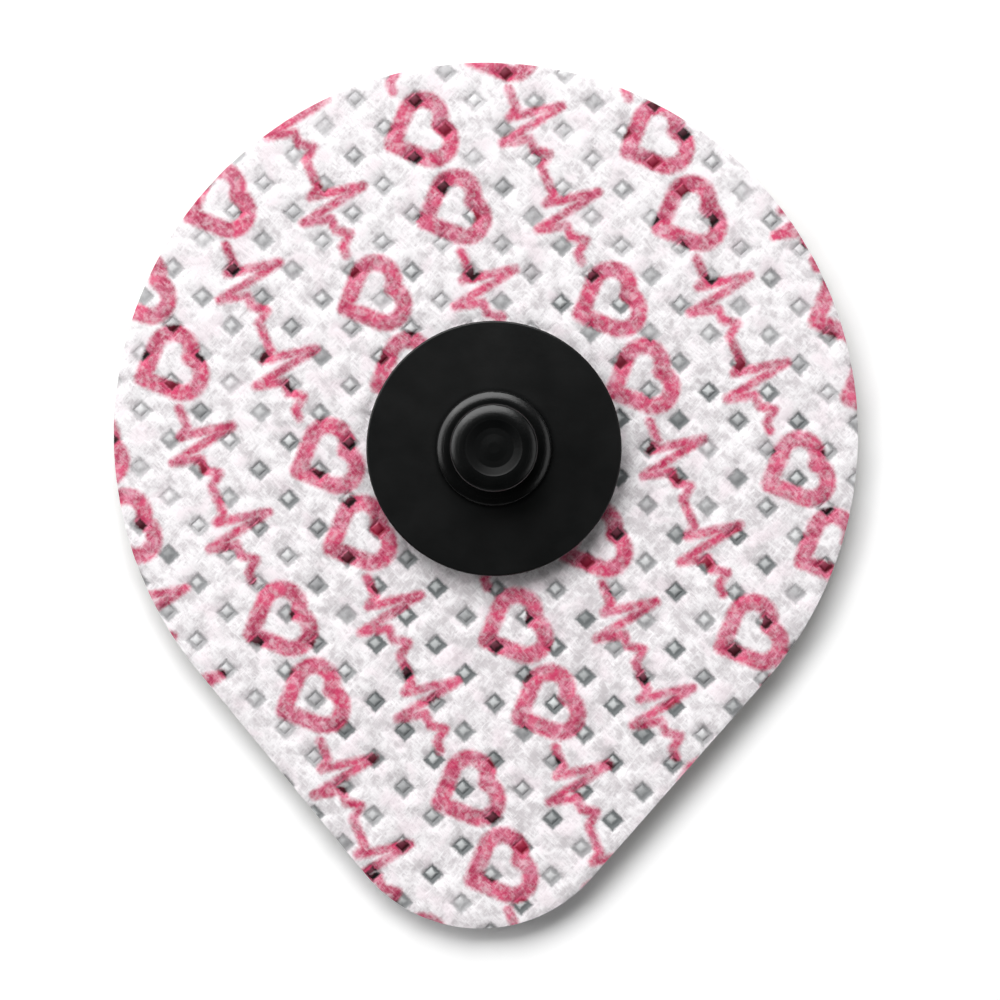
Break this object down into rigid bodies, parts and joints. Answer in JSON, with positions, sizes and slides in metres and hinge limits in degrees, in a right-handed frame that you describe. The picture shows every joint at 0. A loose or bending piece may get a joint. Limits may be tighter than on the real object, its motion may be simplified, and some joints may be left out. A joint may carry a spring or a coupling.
{
  "type": "ecg electrode",
  "caption": "Disposable teardrop electrode of embossed white nonwoven with a black plastic snap stud, a coated sensor eyelet and a solid gel pad.",
  "frame": {"origin": "on the snap's axis, at the gel pad's lower face, which goes on the skin", "axes": "+Z along the snap's axis, out of the stud and away from the skin; +Y along the teardrop from its tab to its round end, so the lifting tab points to -Y; +X to the right of the two, seen from above with the tab nearest"},
  "size_m": [0.0334, 0.0388, 0.0049],
  "materials": {
    "nonwoven_cloth": "off-white bonded nonwoven with grey bond points and pink printing, adhesive coated below",
    "solid_gel": "clear, wet looking solid gel",
    "silver_coat": "satin grey silver chloride coat on plastic",
    "carbon_plastic": "black carbon filled plastic, satin as moulded"
  },
  "bodies": {
    "root": {"backing_cloth": "nonwoven_cloth", "gel_pad": "solid_gel", "sensor_eyelet": "silver_coat", "snap_stud": "carbon_plastic"}
  },
  "joints": []
}
